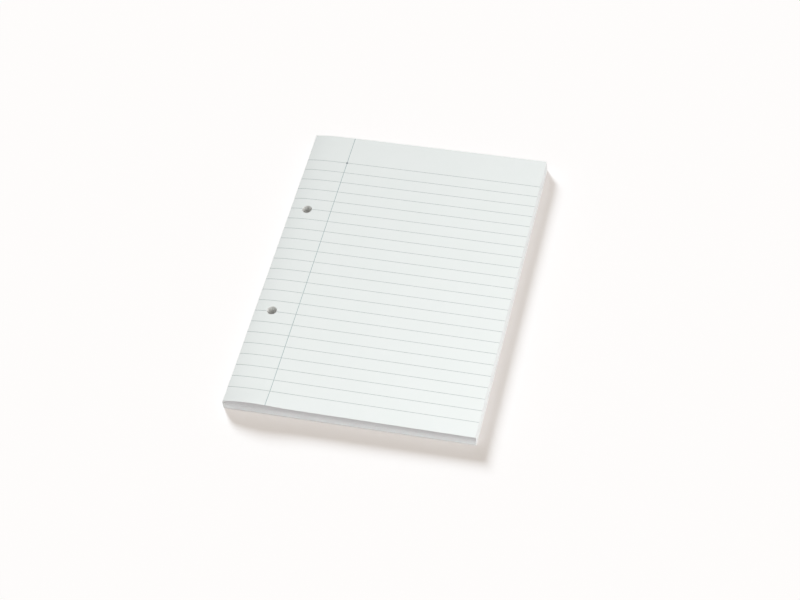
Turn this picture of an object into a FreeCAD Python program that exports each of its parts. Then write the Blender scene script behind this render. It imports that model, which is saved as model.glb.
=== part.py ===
"""A5 ruled refill pad: loose leaves glued along one long edge, drilled for a two-ring file.

Millimetres, +Z up. The pad lies flat on its backing board. X runs across the sheet from the
glued spine to the fore edge, Y runs up the sheet from its foot to its head, and the origin is
the middle of the pad's underside.
"""
import FreeCAD, Part
import math
import os

from FreeCAD import Vector

# Sheet and stack
leaf_width = 148.0
leaf_length = 210.0
leaf_count = 80
leaf_thickness = 0.091
board_thickness = 0.8
fore_edge_setback = 0.3

# Crown of the top sheet: the glue pinches the spine, and the leaves settle towards the fore edge
crown_rise = 0.3
grip_sink = 1.5
grip_length = 7.0
fore_edge_fall = 0.6

# The leaves swell round the drilled holes at the foot of the pad
swell_rise = 1.05
swell_centre = 17.0
swell_spread = 16.0
swell_run = 9.0

# The crown is laid in flats, closer together beside the spine, where it bends most
sheet_flats = 20
flat_crowding = 1.5

# Film of padding glue on the spine, thinned towards its two long edges
glue_thickness = 0.4
glue_taper = 1.2

# Two drilled holes for a ring file
hole_radius = 3.0
hole_spacing = 80.0
hole_inset = 10.5
hole_pair_offset = 3.0
drill_overrun = 1.0

# Ruling
ink_thickness = 0.04
feint_width = 0.3
feint_pitch = 8.1
head_space = 21.2
foot_space = 9.5
margin_width = 0.35
margin_inset = 25.5
ink_spot_radius = 0.55

# Places that follow from the sizes
spine_x = (glue_thickness - leaf_width) / 2
foot_y = -leaf_length / 2
head_y = leaf_length / 2
main_foot_y = foot_y + swell_run
stack_top = board_thickness + leaf_count * leaf_thickness
hole_x = spine_x + hole_inset
margin_x = spine_x + margin_inset
first_feint_y = head_y - head_space
cut_height = stack_top + crown_rise + swell_rise + ink_thickness + drill_overrun


def at(reach, y, z):
    """A point given by its distance from the spine."""
    return Vector(spine_x + reach, y, z)


def sheet_height(reach, swell):
    """Height of the top sheet at a distance from the spine: swell is 0 along the pad, 1 at its foot."""
    grip = grip_sink * math.exp(-reach / grip_length)
    fall = fore_edge_fall * (reach / leaf_width) ** 2
    hump = swell_rise * math.exp(-(((reach - swell_centre) / swell_spread) ** 2))
    return stack_top + crown_rise - grip - fall + swell * hump


def top_points(y, swell, lift):
    """Corners of the flats across the top sheet, spine first, raised by lift."""
    top_width = leaf_width - fore_edge_setback
    reaches = [top_width * (i / sheet_flats) ** flat_crowding for i in range(sheet_flats + 1)]
    return [at(reach, y, sheet_height(reach, swell) + lift) for reach in reaches]


def block_section(y, swell):
    """Section of all the leaves together, standing on the board."""
    spine_foot = at(0, y, board_thickness)
    fore_foot = at(leaf_width, y, board_thickness)
    top = top_points(y, swell, 0)
    return Part.makePolygon([spine_foot] + top + [fore_foot, spine_foot])


def film_section(y, swell):
    """Section of a film of ink that covers the whole top sheet."""
    under = top_points(y, swell, 0)
    over = top_points(y, swell, ink_thickness)
    return Part.makePolygon(under + over[::-1] + under[:1])


def along_pad(section):
    """A solid of one section along the pad, lofted to its swollen form at the foot."""
    plain = section(main_foot_y, 0)
    main = Part.Face(plain).extrude(Vector(0, head_y - main_foot_y, 0))
    foot = Part.makeLoft([section(foot_y, 1), plain], True, True)
    return main.fuse(foot).removeSplitter()


def hole_places():
    """Where the two holes are drilled: a pair centred a little towards the head."""
    middle = hole_pair_offset
    return [(hole_x, middle + hole_spacing / 2), (hole_x, middle - hole_spacing / 2)]


def drilled(body):
    """The body with both holes cut right through it."""
    for x, y in hole_places():
        drill = Part.makeCylinder(hole_radius, cut_height + drill_overrun, Vector(x, y, -drill_overrun))
        body = body.cut(drill)
    return body


def paper_block():
    """All the leaves, as trimmed and drilled."""
    return drilled(along_pad(block_section))


def backing_board():
    """Board under the leaves, trimmed and drilled with them."""
    board = Part.makeBox(leaf_width, leaf_length, board_thickness, Vector(spine_x, foot_y, 0))
    return drilled(board)


def spine_glue():
    """Glue brushed over the edges of the leaves and the board."""
    top = sheet_height(0, 0)
    outer_x = spine_x - glue_thickness
    low = Vector(spine_x, foot_y, 0)
    high = Vector(spine_x, foot_y, top)
    outer_low = Vector(outer_x, foot_y, glue_taper)
    outer_high = Vector(outer_x, foot_y, top - glue_taper)
    section = Part.makePolygon([low, outer_low, outer_high, high, low])
    return Part.Face(section).extrude(Vector(0, leaf_length, 0))


def feint_places():
    """Heights of the feint lines on the sheet, from the head down."""
    count = int((leaf_length - head_space - foot_space) / feint_pitch) + 1
    return [first_feint_y - row * feint_pitch for row in range(count)]


def margin_line(film):
    """The margin rule, with the spot where its ink ran into the first feint line."""
    band = Part.makeBox(
        margin_width, leaf_length, cut_height, Vector(margin_x - margin_width / 2, foot_y, 0)
    )
    spot = Part.makeCylinder(ink_spot_radius, cut_height, Vector(margin_x, first_feint_y, 0))
    return film.common(band.fuse(spot)).removeSplitter()


def feint_ruling(film, margin):
    """The feint lines, printed from edge to edge of the sheet and broken by the margin rule."""
    lines = []
    for y in feint_places():
        band = Part.makeBox(
            leaf_width, feint_width, cut_height, Vector(spine_x, y - feint_width / 2, 0)
        )
        lines.extend(film.common(band).cut(margin).Solids)
    return Part.makeCompound(lines)


def save(name, shape):
    """Write one node's solids."""
    shape.exportStep(os.path.join("parts", name + ".step"))


os.makedirs("parts", exist_ok=True)
ink_film = drilled(along_pad(film_section))
margin = margin_line(ink_film)
save("paper_block", paper_block())
save("backing_board", backing_board())
save("spine_glue", spine_glue())
save("margin_line", margin)
save("feint_ruling", feint_ruling(ink_film, margin))
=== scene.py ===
"""A5 ruled refill pad, dressed over its solids. Metres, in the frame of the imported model."""
import math
import random

import bmesh
import bpy
from mathutils import Matrix, Vector


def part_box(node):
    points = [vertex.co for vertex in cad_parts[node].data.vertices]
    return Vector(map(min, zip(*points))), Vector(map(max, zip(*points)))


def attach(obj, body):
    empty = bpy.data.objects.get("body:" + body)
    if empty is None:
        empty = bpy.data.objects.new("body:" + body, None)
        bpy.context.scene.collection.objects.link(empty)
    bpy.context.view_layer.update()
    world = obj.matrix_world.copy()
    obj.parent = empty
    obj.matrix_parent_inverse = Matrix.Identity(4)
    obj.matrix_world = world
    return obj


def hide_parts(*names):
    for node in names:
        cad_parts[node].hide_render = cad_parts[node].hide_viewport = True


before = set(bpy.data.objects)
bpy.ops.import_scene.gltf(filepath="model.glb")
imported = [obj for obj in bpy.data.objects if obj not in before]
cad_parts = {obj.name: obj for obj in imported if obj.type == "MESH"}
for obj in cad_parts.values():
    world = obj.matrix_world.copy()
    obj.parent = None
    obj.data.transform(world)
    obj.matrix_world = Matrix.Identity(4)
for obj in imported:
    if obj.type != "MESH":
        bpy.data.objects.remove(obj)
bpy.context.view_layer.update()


# Leaves
# Eighty sheets of uncoated writing paper, trimmed and drilled as one stack. The glue pinches
# them along the spine, so the stack crowns beside it, and they swell at the foot of the pad.
block_low, block_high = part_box("paper_block")
spine_x = block_low.x
fore_x = block_high.x
foot_y = block_low.y
head_y = block_high.y
board_top = block_low.z
leaf_width = fore_x - spine_x
leaf_length = head_y - foot_y
leaf_count = 80
leaf_thickness = 0.000091
leaf_fill = 0.86
fore_edge_setback = 0.0003
trim_slack = 0.00006
leaf_drift = 0.00003
drift_kept = 0.6
foot_recess = 0.001
recess_reach = 0.03
recess_share = 0.5
slide_sharpness = 8

crown_rise = 0.0003
grip_sink = 0.0015
grip_length = 0.007
fore_edge_fall = 0.0006
swell_rise = 0.00105
swell_centre = 0.017
swell_spread = 0.016
swell_length = 0.009
swell_reach = 0.026

hole_radius = 0.003
hole_x = spine_x + 0.0105
hole_middle_y = 0.003
hole_spacing = 0.08
hole_ys = [hole_middle_y + hole_spacing / 2, hole_middle_y - hole_spacing / 2]
hole_window = 0.0038
window_slack = 1.001
hole_segments = 28
cut_crowding = 1.5


def sheet_height(x, y):
    """Height of the top sheet over the underside of the pad."""
    reach = x - spine_x
    grip = grip_sink * math.exp(-reach / grip_length)
    fall = fore_edge_fall * (reach / leaf_width) ** 2
    hump = swell_rise * math.exp(-(((reach - swell_centre) / swell_spread) ** 2))
    swell = math.exp(-(((y - foot_y) / swell_length) ** 2))
    stack = board_top + leaf_count * leaf_thickness
    return stack + crown_rise - grip - fall + swell * hump


def stations(start, length, steps, crowding):
    """Cuts between the two ends of a length, closer together at its start."""
    return [start + length * (i / steps) ** crowding for i in range(1, steps)]


def cut_at(bm, places, axis):
    """Cut every face across at each of the places along one axis."""
    for place in places:
        geometry = bm.verts[:] + bm.edges[:] + bm.faces[:]
        bmesh.ops.bisect_plane(bm, geom=geometry, plane_co=axis * place, plane_no=axis)


def punched_sheet(x_cuts, y_cuts):
    """A flat sheet of the pad's size at height 0, cut into a net, with both file holes."""
    bm = bmesh.new()
    bmesh.ops.create_grid(bm, x_segments=1, y_segments=1, size=0.5)
    bmesh.ops.scale(bm, vec=(leaf_width, leaf_length, 1), verts=bm.verts)
    middle = Vector(((spine_x + fore_x) / 2, (foot_y + head_y) / 2, 0))
    bmesh.ops.translate(bm, vec=middle, verts=bm.verts)
    window_x = [hole_x - hole_window, hole_x + hole_window]
    window_y = [y + side * hole_window for y in hole_ys for side in (-1, 1)]
    cut_at(bm, x_cuts + window_x, Vector((1, 0, 0)))
    cut_at(bm, y_cuts + window_y, Vector((0, 1, 0)))
    for hole_y in hole_ys:
        centre = Vector((hole_x, hole_y, 0))

        def in_window(point):
            away = point - centre
            return max(abs(away.x), abs(away.y)) < hole_window * window_slack

        inside = [f for f in bm.faces if all(in_window(v.co) for v in f.verts)]
        bmesh.ops.delete(bm, geom=inside, context="FACES")
        rim = bmesh.ops.create_circle(
            bm, segments=hole_segments, radius=hole_radius, matrix=Matrix.Translation(centre)
        )["verts"]
        loops = {e for v in rim for e in v.link_edges}
        loops |= {e for e in bm.edges if e.is_boundary and all(in_window(v.co) for v in e.verts)}
        bmesh.ops.triangle_fill(bm, use_beauty=True, edges=list(loops), normal=(0, 0, 1))
    return bm


def thickened(bm):
    """Give a flat net of faces a height of 1, closed all round."""
    raised = bmesh.ops.extrude_face_region(bm, geom=bm.faces[:])["geom"]
    tops = [g for g in raised if isinstance(g, bmesh.types.BMVert)]
    bmesh.ops.translate(bm, vec=(0, 0, 1), verts=tops)
    bmesh.ops.recalc_face_normals(bm, faces=bm.faces[:])


def crisp(bm, angle=math.radians(35)):
    """Smooth faces, with the edges that turn sharply left crisp."""
    for face in bm.faces:
        face.smooth = True
    for edge in bm.edges:
        edge.smooth = edge.is_manifold and edge.calc_face_angle(math.pi) < angle


def made(bm, name, material, node):
    """Turn a mesh under work into a piece that stands for a node."""
    mesh = bpy.data.meshes.new(name)
    bm.to_mesh(mesh)
    bm.free()
    mesh.materials.append(material)
    piece = bpy.data.objects.new(name, mesh)
    bpy.context.scene.collection.objects.link(piece)
    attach(piece, "root")
    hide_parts(node)


def recess(number):
    """How far a leaf's foot lies behind the board's: the top leaves have slid forward again."""
    share = number / (leaf_count - 1)
    set_back = math.sin(math.pi / 2 * min(1, share / recess_share))
    return foot_recess * (1 - share ** slide_sharpness) * set_back


def laid(sheet, number, fill, drift_x, drift_y):
    """One leaf laid at its number in the stack, a little out of true."""
    leaf = bmesh.new()
    leaf.from_mesh(sheet)
    narrowed = 1 - (fore_edge_setback * number / leaf_count + trim_slack - drift_x) / leaf_width
    shortened = 1 - 2 * trim_slack / leaf_length
    for v in leaf.verts:
        level = (number + fill * v.co.z) / leaf_count
        rise = sheet_height(v.co.x, v.co.y) - board_top
        v.co.x = spine_x + (v.co.x - spine_x) * narrowed
        drawn_in = max(0, 1 - (v.co.y - foot_y) / recess_reach) * recess(number)
        v.co.y = v.co.y * shortened + drift_y + drawn_in
        v.co.z = board_top + rise * level
    return leaf


def leaf_net(x_steps, swell_steps, y_steps):
    """The mesh of one flat leaf, with more cuts beside the spine and in the swollen foot."""
    x_cuts = stations(spine_x, leaf_width, x_steps, cut_crowding)
    swell_end = foot_y + swell_reach
    y_cuts = stations(foot_y, swell_reach, swell_steps, 1) + [swell_end]
    y_cuts += stations(swell_end, head_y - swell_end, y_steps, 1)
    bm = punched_sheet(x_cuts, y_cuts)
    thickened(bm)
    mesh = bpy.data.meshes.new("leaf_net")
    bm.to_mesh(mesh)
    bm.free()
    return mesh


def paper():
    """Uncoated paper, faintly clouded cool white with a soft tooth. Painted shade darkens its streaked
    cut edges, the hole walls more.
    """
    material = bpy.data.materials.new("writing_paper")
    material.use_nodes = True
    tree = material.node_tree
    nodes, links = tree.nodes, tree.links
    shader = nodes["Principled BSDF"]
    shader.inputs["Roughness"].default_value = 0.88
    shader.inputs["Specular IOR Level"].default_value = 0.25
    place = nodes.new("ShaderNodeTexCoord")
    cloud = nodes.new("ShaderNodeTexNoise")
    cloud.inputs["Scale"].default_value = 70
    cloud.inputs["Detail"].default_value = 3
    tone = nodes.new("ShaderNodeMix")
    tone.data_type = "RGBA"
    tone.inputs["A"].default_value = (0.845, 0.885, 0.865, 1)
    tone.inputs["B"].default_value = (0.872, 0.9, 0.888, 1)
    facing = nodes.new("ShaderNodeNewGeometry")
    split = nodes.new("ShaderNodeSeparateXYZ")
    flatness = nodes.new("ShaderNodeMath")
    flatness.operation = "ABSOLUTE"
    sides = nodes.new("ShaderNodeMapRange")
    sides.inputs["From Min"].default_value = 0.7
    sides.inputs["From Max"].default_value = 0.4
    stretch = nodes.new("ShaderNodeMapping")
    stretch.inputs["Scale"].default_value = (260, 260, 9000)
    streak = nodes.new("ShaderNodeTexNoise")
    streak.inputs["Scale"].default_value = 1
    streak.inputs["Detail"].default_value = 4
    # The cut edges: real knife streaks, with painted shade making them darker and pinker than the top.
    cut_streaks_and_shade = nodes.new("ShaderNodeMix")
    cut_streaks_and_shade.data_type = "RGBA"
    cut_streaks_and_shade.inputs["A"].default_value = (0.77, 0.735, 0.74, 1)
    cut_streaks_and_shade.inputs["B"].default_value = (0.91, 0.875, 0.88, 1)
    # The hole walls get painted shade. The two holes lie mirrored about their middle, so one distance
    # finds the walls of both
    from_middle = nodes.new("ShaderNodeVectorMath")
    from_middle.operation = "SUBTRACT"
    from_middle.inputs[1].default_value = (hole_x, hole_middle_y, 0)
    one_half = nodes.new("ShaderNodeVectorMath")
    one_half.operation = "ABSOLUTE"
    from_hole = nodes.new("ShaderNodeVectorMath")
    from_hole.operation = "SUBTRACT"
    from_hole.inputs[1].default_value = (0, hole_spacing / 2, 0)
    level = nodes.new("ShaderNodeVectorMath")
    level.operation = "MULTIPLY"
    level.inputs[1].default_value = (1, 1, 0)
    distance = nodes.new("ShaderNodeVectorMath")
    distance.operation = "LENGTH"
    in_hole = nodes.new("ShaderNodeMath")
    in_hole.operation = "LESS_THAN"
    in_hole.inputs[1].default_value = hole_radius * 1.2
    # Painted shade: the walls of the drilled holes, darker than the cut edges.
    hole_wall_shade = nodes.new("ShaderNodeMix")
    hole_wall_shade.data_type = "RGBA"
    hole_wall_shade.inputs["B"].default_value = (0.78, 0.77, 0.74, 1)
    surface = nodes.new("ShaderNodeMix")
    surface.data_type = "RGBA"
    tooth = nodes.new("ShaderNodeTexNoise")
    tooth.inputs["Scale"].default_value = 3200
    tooth.inputs["Detail"].default_value = 5
    bump = nodes.new("ShaderNodeBump")
    bump.inputs["Strength"].default_value = 0.25
    bump.inputs["Distance"].default_value = 0.00002
    links.new(place.outputs["Object"], cloud.inputs["Vector"])
    links.new(place.outputs["Object"], tooth.inputs["Vector"])
    links.new(place.outputs["Object"], stretch.inputs["Vector"])
    links.new(stretch.outputs["Vector"], streak.inputs["Vector"])
    links.new(cloud.outputs["Fac"], tone.inputs["Factor"])
    links.new(streak.outputs["Fac"], cut_streaks_and_shade.inputs["Factor"])
    links.new(facing.outputs["True Normal"], split.inputs["Vector"])
    links.new(split.outputs["Z"], flatness.inputs[0])
    links.new(flatness.outputs["Value"], sides.inputs["Value"])
    links.new(sides.outputs["Result"], surface.inputs["Factor"])
    links.new(tone.outputs["Result"], surface.inputs["A"])
    links.new(place.outputs["Object"], from_middle.inputs[0])
    links.new(from_middle.outputs["Vector"], one_half.inputs[0])
    links.new(one_half.outputs["Vector"], from_hole.inputs[0])
    links.new(from_hole.outputs["Vector"], level.inputs[0])
    links.new(level.outputs["Vector"], distance.inputs[0])
    links.new(distance.outputs["Value"], in_hole.inputs[0])
    links.new(in_hole.outputs["Value"], hole_wall_shade.inputs["Factor"])
    links.new(cut_streaks_and_shade.outputs["Result"], hole_wall_shade.inputs["A"])
    links.new(hole_wall_shade.outputs["Result"], surface.inputs["B"])
    links.new(surface.outputs["Result"], shader.inputs["Base Color"])
    links.new(tooth.outputs["Fac"], bump.inputs["Height"])
    links.new(bump.outputs["Normal"], shader.inputs["Normal"])
    return material


leaf_noise = random.Random(11)
inner_leaf = leaf_net(x_steps=14, swell_steps=5, y_steps=3)
top_leaf = leaf_net(x_steps=44, swell_steps=26, y_steps=6)
stack = bmesh.new()
drift_x = 0.0
drift_y = 0.0
for number in range(leaf_count):
    drift_x = drift_kept * drift_x + leaf_noise.uniform(-leaf_drift, leaf_drift)
    drift_y = drift_kept * drift_y + leaf_noise.uniform(-leaf_drift, leaf_drift)
    on_top = number == leaf_count - 1
    sheet = top_leaf if on_top else inner_leaf
    fill = 1.0 if on_top else leaf_fill
    leaf = laid(sheet, number, fill, drift_x, drift_y)
    one = bpy.data.meshes.new("leaf")
    crisp(leaf)
    leaf.to_mesh(one)
    leaf.free()
    stack.from_mesh(one)
    bpy.data.meshes.remove(one)
made(stack, "leaves", paper(), "paper_block")


# Backing board
# Pale grey pulp board 0.8 mm thick under the leaves, cut and drilled with them, with its long
# fibres showing as flecks and its trimmed edges a little crushed.
board_low, board_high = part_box("backing_board")
board_thickness = board_high.z - board_low.z
board_crush = 0.00022
rim_angle = math.radians(45)


def pulp_board():
    """Grey board: warm pale grey with darker and lighter flecks of fibre, rough and dry."""
    material = bpy.data.materials.new("pulp_board")
    material.use_nodes = True
    tree = material.node_tree
    nodes, links = tree.nodes, tree.links
    shader = nodes["Principled BSDF"]
    shader.inputs["Roughness"].default_value = 0.92
    shader.inputs["Specular IOR Level"].default_value = 0.2
    place = nodes.new("ShaderNodeTexCoord")
    long_grain = nodes.new("ShaderNodeMapping")
    long_grain.inputs["Scale"].default_value = (1100, 420, 2600)
    fibre = nodes.new("ShaderNodeTexNoise")
    fibre.inputs["Scale"].default_value = 1
    fibre.inputs["Detail"].default_value = 6
    fibre.inputs["Roughness"].default_value = 0.65
    tones = nodes.new("ShaderNodeValToRGB")
    tones.color_ramp.elements[0].position = 0.3
    tones.color_ramp.elements[0].color = (0.7, 0.665, 0.65, 1)
    tones.color_ramp.elements[1].position = 0.62
    tones.color_ramp.elements[1].color = (0.86, 0.82, 0.8, 1)
    bump = nodes.new("ShaderNodeBump")
    bump.inputs["Strength"].default_value = 0.4
    bump.inputs["Distance"].default_value = 0.00004
    links.new(place.outputs["Object"], long_grain.inputs["Vector"])
    links.new(long_grain.outputs["Vector"], fibre.inputs["Vector"])
    links.new(fibre.outputs["Fac"], tones.inputs["Fac"])
    links.new(tones.outputs["Color"], shader.inputs["Base Color"])
    links.new(fibre.outputs["Fac"], bump.inputs["Height"])
    links.new(bump.outputs["Normal"], shader.inputs["Normal"])
    return material


board = punched_sheet([], [])
thickened(board)
bmesh.ops.scale(board, vec=(1, 1, board_thickness), verts=board.verts)
bmesh.ops.translate(board, vec=(0, 0, board_low.z), verts=board.verts)
rims = [e for e in board.edges if e.calc_face_angle(0) > rim_angle]
bmesh.ops.bevel(
    board, geom=rims, offset=board_crush, affect="EDGES", segments=2, profile=0.5, material=-1
)
crisp(board)
made(board, "board", pulp_board(), "backing_board")


# Spine glue
# White padding glue brushed in one coat over the clamped edges of the leaves and the board. It
# dries to a thin satin film, a little thicker in brush strokes and thin along both edges.
glue_low, glue_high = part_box("spine_glue")
glue_rows = 150
glue_columns = 10
glue_edge = 0.00008
coat_share = 0.82
stroke_share = 0.06
stroke_turn = 55
stroke_waves = 6
glue_noise = random.Random(5)


def dried_glue():
    """Dried glue: off-white, satin, with the faint lines of the leaf edges under it."""
    material = bpy.data.materials.new("padding_glue")
    material.use_nodes = True
    tree = material.node_tree
    nodes, links = tree.nodes, tree.links
    shader = nodes["Principled BSDF"]
    shader.inputs["Roughness"].default_value = 0.42
    shader.inputs["Specular IOR Level"].default_value = 0.45
    place = nodes.new("ShaderNodeTexCoord")
    strokes = nodes.new("ShaderNodeMapping")
    strokes.inputs["Scale"].default_value = (500, 60, 3000)
    streak = nodes.new("ShaderNodeTexNoise")
    streak.inputs["Scale"].default_value = 1
    streak.inputs["Detail"].default_value = 4
    tone = nodes.new("ShaderNodeMix")
    tone.data_type = "RGBA"
    tone.inputs["A"].default_value = (0.7, 0.71, 0.69, 1)
    tone.inputs["B"].default_value = (0.82, 0.83, 0.81, 1)
    bump = nodes.new("ShaderNodeBump")
    bump.inputs["Strength"].default_value = 0.3
    bump.inputs["Distance"].default_value = 0.00003
    links.new(place.outputs["Object"], strokes.inputs["Vector"])
    links.new(strokes.outputs["Vector"], streak.inputs["Vector"])
    links.new(streak.outputs["Fac"], tone.inputs["Factor"])
    links.new(tone.outputs["Result"], shader.inputs["Base Color"])
    links.new(streak.outputs["Fac"], bump.inputs["Height"])
    links.new(bump.outputs["Normal"], shader.inputs["Normal"])
    return material


glue = bmesh.new()
bmesh.ops.create_grid(glue, x_segments=glue_columns, y_segments=glue_rows, size=1)
phases = [glue_noise.uniform(0, math.tau) for wave in range(stroke_waves)]
for v in glue.verts:
    across = v.co.x
    along = foot_y + (v.co.y + 1) / 2 * leaf_length
    brush = sum(
        math.sin(along * stroke_turn * (wave + 1) + phase) / (wave + 1)
        for wave, phase in enumerate(phases)
    )
    thinning = math.sqrt(max(1 - across ** 4, 0))
    coat = (glue_high.x - glue_low.x) * (coat_share + stroke_share * brush) * thinning
    v.co = (
        min(spine_x - glue_edge, max(glue_low.x, spine_x - glue_edge - coat)),
        along,
        glue_low.z + (across + 1) / 2 * (glue_high.z - glue_low.z),
    )
backed = bmesh.ops.extrude_face_region(glue, geom=glue.faces[:])["geom"]
for v in backed:
    if isinstance(v, bmesh.types.BMVert):
        v.co.x = spine_x
bmesh.ops.recalc_face_normals(glue, faces=glue.faces[:])
crisp(glue)
made(glue, "glue_film", dried_glue(), "spine_glue")


# Feint ruling
# Twenty-three pale blue-grey feint lines, printed from edge to edge of the sheet and stopped by
# the drilled holes. The ink lies in the paper, so each line is a film on the sheet's own form.
feint_pitch = 0.0081
feint_width = 0.0003
feint_count = 23
first_feint_y = head_y - 0.0212
ink_lift = 0.00003
ink_depth = 0.00002
margin_x = spine_x + 0.0255
feint_cuts = stations(spine_x, leaf_width, steps=60, crowding=1.3)


def ink(name, color, thin_color):
    """Printing ink soaked into paper, thinner where the fibres took less of it."""
    material = bpy.data.materials.new(name)
    material.use_nodes = True
    tree = material.node_tree
    nodes, links = tree.nodes, tree.links
    shader = nodes["Principled BSDF"]
    shader.inputs["Roughness"].default_value = 0.85
    shader.inputs["Specular IOR Level"].default_value = 0.25
    place = nodes.new("ShaderNodeTexCoord")
    take = nodes.new("ShaderNodeTexNoise")
    take.inputs["Scale"].default_value = 900
    take.inputs["Detail"].default_value = 4
    tone = nodes.new("ShaderNodeMix")
    tone.data_type = "RGBA"
    tone.inputs["A"].default_value = color
    tone.inputs["B"].default_value = thin_color
    links.new(place.outputs["Object"], take.inputs["Vector"])
    links.new(take.outputs["Fac"], tone.inputs["Factor"])
    links.new(tone.outputs["Result"], shader.inputs["Base Color"])
    return material


def strip(bm, x_from, x_to, y_from, y_to):
    """One flat strip of print at height 0."""
    centre = Vector(((x_from + x_to) / 2, (y_from + y_to) / 2, 0))
    size = Vector((x_to - x_from, y_to - y_from, 1))
    placing = Matrix.Translation(centre) @ Matrix.Diagonal(size).to_4x4()
    bmesh.ops.create_grid(bm, x_segments=1, y_segments=1, size=0.5, matrix=placing)


def pressed(bm, lift):
    """Lay flat print on the top sheet, just proud of it and let into it."""
    thickened(bm)
    for v in bm.verts:
        v.co.z = sheet_height(v.co.x, v.co.y) + (lift if v.co.z > 0.5 else -ink_depth)
    crisp(bm)


feint = bmesh.new()
sheet_end = fore_x - fore_edge_setback - 2 * trim_slack
for row in range(feint_count):
    y = first_feint_y - row * feint_pitch
    stops = [spine_x, sheet_end]
    for hole_y in hole_ys:
        if abs(y - hole_y) < hole_radius:
            half = math.sqrt(hole_radius ** 2 - (y - hole_y) ** 2)
            stops[1:1] = [hole_x - half, hole_x + half]
    for x_from, x_to in zip(stops[0::2], stops[1::2]):
        strip(feint, x_from, x_to, y - feint_width / 2, y + feint_width / 2)
cut_at(feint, feint_cuts, Vector((1, 0, 0)))
pressed(feint, ink_lift)
feint_ink = ink("feint_ink", (0.4, 0.45, 0.44, 1), (0.54, 0.59, 0.58, 1))
made(feint, "feint_ruling_print", feint_ink, "feint_ruling")


# Margin rule
# A blue-grey rule down the left of the sheet from head to foot, printed over the feint lines,
# with the small dark spot where its ink ran into the first of them.
margin_width = 0.00035
margin_lift = 0.000035
margin_low = foot_y + trim_slack * 2
margin_high = head_y - trim_slack * 2
margin_cuts = stations(foot_y, leaf_length, steps=110, crowding=1.5)
spot_radius = 0.00062
spot_lift = margin_lift + 0.000004

margin = bmesh.new()
strip(margin, margin_x - margin_width / 2, margin_x + margin_width / 2, margin_low, margin_high)
cut_at(margin, margin_cuts, Vector((0, 1, 0)))
pressed(margin, margin_lift)
spot = bmesh.new()
spot_place = Matrix.Translation((margin_x, first_feint_y, 0))
bmesh.ops.create_circle(spot, cap_ends=True, segments=24, radius=spot_radius, matrix=spot_place)
pressed(spot, spot_lift)
pooled_ink = ink("pooled_ink", (0.07, 0.11, 0.13, 1), (0.16, 0.21, 0.23, 1))
made(spot, "margin_ink_spot", pooled_ink, "margin_line")
margin_ink = ink("margin_ink", (0.34, 0.43, 0.44, 1), (0.5, 0.58, 0.58, 1))
made(margin, "margin_rule_print", margin_ink, "margin_line")


# Floor
# A pale seamless table, a hair below the board. The camera sees it as near white wherever the key
# lamp falls, with the pad's shadow on it, and sees through it from below.
floor_reach = 3.0
floor_drop = 0.00005
floor_glow = 0.05


def looked_at(nodes, links):
    """The path of a ray, and 1 where that is a look, straight, in a gloss or through glass."""
    eye = nodes.new("ShaderNodeLightPath")
    mirrored = nodes.new("ShaderNodeMath")
    mirrored.operation = "MAXIMUM"
    looking = nodes.new("ShaderNodeMath")
    looking.operation = "MAXIMUM"
    links.new(eye.outputs["Is Glossy Ray"], mirrored.inputs[0])
    links.new(eye.outputs["Is Transmission Ray"], mirrored.inputs[1])
    links.new(eye.outputs["Is Camera Ray"], looking.inputs[0])
    links.new(mirrored.outputs["Value"], looking.inputs[1])
    return eye, looking


def pale_floor():
    """Plain diffuse floor, lifted to near white for the camera, and clear to it from below."""
    material = bpy.data.materials.new("pale_floor")
    material.use_nodes = True
    tree = material.node_tree
    nodes, links = tree.nodes, tree.links
    nodes.remove(nodes["Principled BSDF"])
    out = nodes["Material Output"]
    plain = nodes.new("ShaderNodeBsdfDiffuse")
    plain.inputs["Color"].default_value = (0.3, 0.3, 0.3, 1)
    bounce = nodes.new("ShaderNodeEmission")
    bounce.inputs["Color"].default_value = (1, 1, 1, 1)
    bounce.inputs["Strength"].default_value = floor_glow
    lit = nodes.new("ShaderNodeAddShader")
    seen = nodes.new("ShaderNodeBsdfDiffuse")
    seen.inputs["Color"].default_value = (0.75, 0.81, 0.875, 1)
    glow = nodes.new("ShaderNodeEmission")
    glow.inputs["Color"].default_value = (0.496, 0.44, 0.388, 1)
    glow.inputs["Strength"].default_value = 1
    both = nodes.new("ShaderNodeAddShader")
    eye, looking = looked_at(nodes, links)
    choice = nodes.new("ShaderNodeMixShader")
    facing = nodes.new("ShaderNodeNewGeometry")
    from_below = nodes.new("ShaderNodeMath")
    from_below.operation = "MULTIPLY"
    clear = nodes.new("ShaderNodeBsdfTransparent")
    open_below = nodes.new("ShaderNodeMixShader")
    links.new(seen.outputs["BSDF"], both.inputs[0])
    links.new(glow.outputs["Emission"], both.inputs[1])
    links.new(looking.outputs["Value"], choice.inputs["Fac"])
    links.new(plain.outputs["BSDF"], lit.inputs[0])
    links.new(bounce.outputs["Emission"], lit.inputs[1])
    links.new(lit.outputs["Shader"], choice.inputs[1])
    links.new(both.outputs["Shader"], choice.inputs[2])
    links.new(facing.outputs["Backfacing"], from_below.inputs[0])
    links.new(eye.outputs["Is Camera Ray"], from_below.inputs[1])
    links.new(from_below.outputs["Value"], open_below.inputs["Fac"])
    links.new(choice.outputs["Shader"], open_below.inputs[1])
    links.new(clear.outputs["BSDF"], open_below.inputs[2])
    links.new(open_below.outputs["Shader"], out.inputs["Surface"])
    return material


ground = bmesh.new()
bmesh.ops.create_grid(ground, x_segments=1, y_segments=1, size=floor_reach)
bmesh.ops.translate(ground, vec=(0, 0, -floor_drop), verts=ground.verts)
ground_mesh = bpy.data.meshes.new("floor")
ground.to_mesh(ground_mesh)
ground.free()
ground_mesh.materials.append(pale_floor())
floor = bpy.data.objects.new("floor", ground_mesh)
bpy.context.scene.collection.objects.link(floor)


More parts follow.
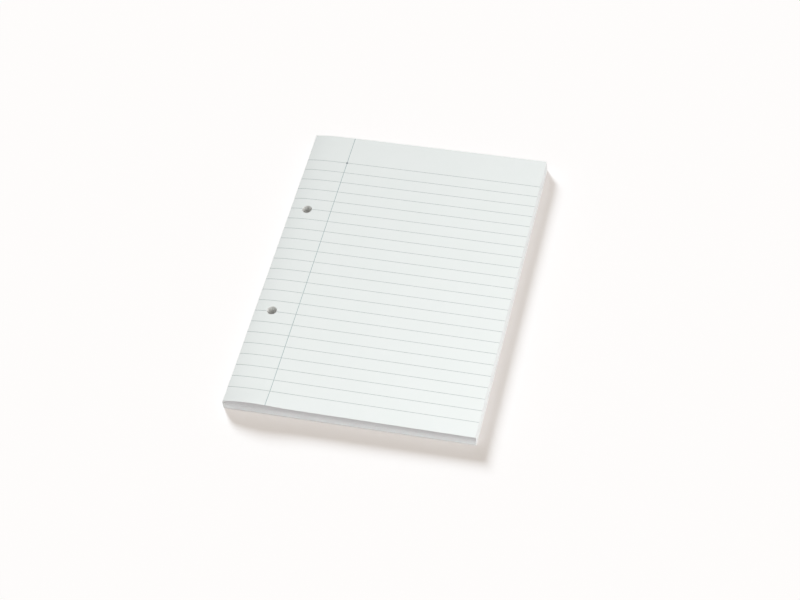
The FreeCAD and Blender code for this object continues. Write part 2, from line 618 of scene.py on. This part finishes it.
# Light
# A low key lamp behind the upper left lights the floor alone and throws the soft shadow there. A
# broad dome, four soft lamps round the pad and one below it light the pad and pass over the floor.
sky_strength = 0.15
key_strength = 3.6
key_azimuth = math.radians(-37.5)
key_elevation = math.radians(26.5)
key_width = math.radians(17)
dome_strength = 0.21
dome_width = math.radians(175)
fill_power = 14.3
fill_place = Vector((0.8, -0.2, 0.8))
front_power = 4.5
front_place = Vector((-0.2, -0.5, 0.4))
rim_power = 2.6
rim_place = Vector((-0.9, 1.1, 0.22))
side_power = 0.34
side_place = Vector((0.5, -0.17, 0.14))
low_size = 0.2
under_strength = 1.2
under_width = math.radians(5)
lamp_size = 1.8

world = bpy.data.worlds.new("sky")
bpy.context.scene.world = world
world.use_nodes = True
nodes, links = world.node_tree.nodes, world.node_tree.links
sky = nodes["Background"]
sky.inputs["Color"].default_value = (1, 1, 1, 1)
sky.inputs["Strength"].default_value = sky_strength
white = nodes.new("ShaderNodeBackground")
white.inputs["Color"].default_value = (0.991, 0.973, 0.965, 1)
white.inputs["Strength"].default_value = 1
eye, looking = looked_at(nodes, links)
choice = nodes.new("ShaderNodeMixShader")
links.new(looking.outputs["Value"], choice.inputs["Fac"])
links.new(sky.outputs["Background"], choice.inputs[1])
links.new(white.outputs["Background"], choice.inputs[2])
links.new(choice.outputs["Shader"], nodes["World Output"].inputs["Surface"])

on_floor = bpy.data.collections.new("on_floor")
on_floor.objects.link(floor)
off_floor = bpy.data.collections.new("off_floor")
off_floor.objects.link(floor)
off_floor.collection_objects[0].light_linking.link_state = "EXCLUDE"


def lamp(name, kind, place, energy):
    """A white lamp at a place, turned to the pad."""
    data = bpy.data.lights.new(name, kind)
    data.energy = energy
    rig = bpy.data.objects.new(name, data)
    rig.location = place
    rig.rotation_mode = "QUATERNION"
    rig.rotation_quaternion = (-place).to_track_quat("-Z", "Y")
    bpy.context.scene.collection.objects.link(rig)
    return rig


key_from = Vector((
    math.sin(key_azimuth) * math.cos(key_elevation),
    math.cos(key_azimuth) * math.cos(key_elevation),
    math.sin(key_elevation),
))
key = lamp("key", "SUN", key_from, key_strength)
key.data.angle = key_width
key.light_linking.receiver_collection = on_floor
dome = lamp("dome", "SUN", Vector((0, 0, 1)), dome_strength)
dome.data.angle = dome_width
dome.light_linking.receiver_collection = off_floor
under = lamp("under", "SUN", Vector((0, 0, -1)), under_strength)
under.data.angle = under_width
under.light_linking.receiver_collection = off_floor
under.light_linking.blocker_collection = off_floor
fill = lamp("fill", "AREA", fill_place, fill_power)
front = lamp("front", "AREA", front_place, front_power)
rim = lamp("rim", "AREA", rim_place, rim_power)
side = lamp("side", "AREA", side_place, side_power)
for soft in (fill, front, rim, side):
    soft.data.shape = "DISK"
    soft.data.size = low_size if soft in (rim, side) else lamp_size
    soft.visible_camera = False
    soft.light_linking.receiver_collection = off_floor


# Camera
# A long lens above the right of the pad's foot, rolled a little, at the photograph's viewing
# angle and framing.
camera_place = Vector((0.2593, -0.7254, 0.9374))
camera_azimuth = math.radians(19.404)
camera_elevation = math.radians(51.046)
camera_roll = math.radians(-7.629)
back = Vector((
    math.sin(camera_azimuth) * math.cos(camera_elevation),
    -math.cos(camera_azimuth) * math.cos(camera_elevation),
    math.sin(camera_elevation),
))
lens = bpy.data.cameras.new("camera")
lens.sensor_width = 36
lens.lens = 91.514
lens.clip_start = 0.01
camera = bpy.data.objects.new("camera", lens)
camera.location = camera_place
camera.rotation_mode = "QUATERNION"
camera.rotation_quaternion = (
    (-back).to_track_quat("-Z", "Y") @ Matrix.Rotation(camera_roll, 3, "Z").to_quaternion()
)
bpy.context.scene.collection.objects.link(camera)
bpy.context.scene.camera = camera
bpy.context.scene.view_settings.view_transform = "Standard"
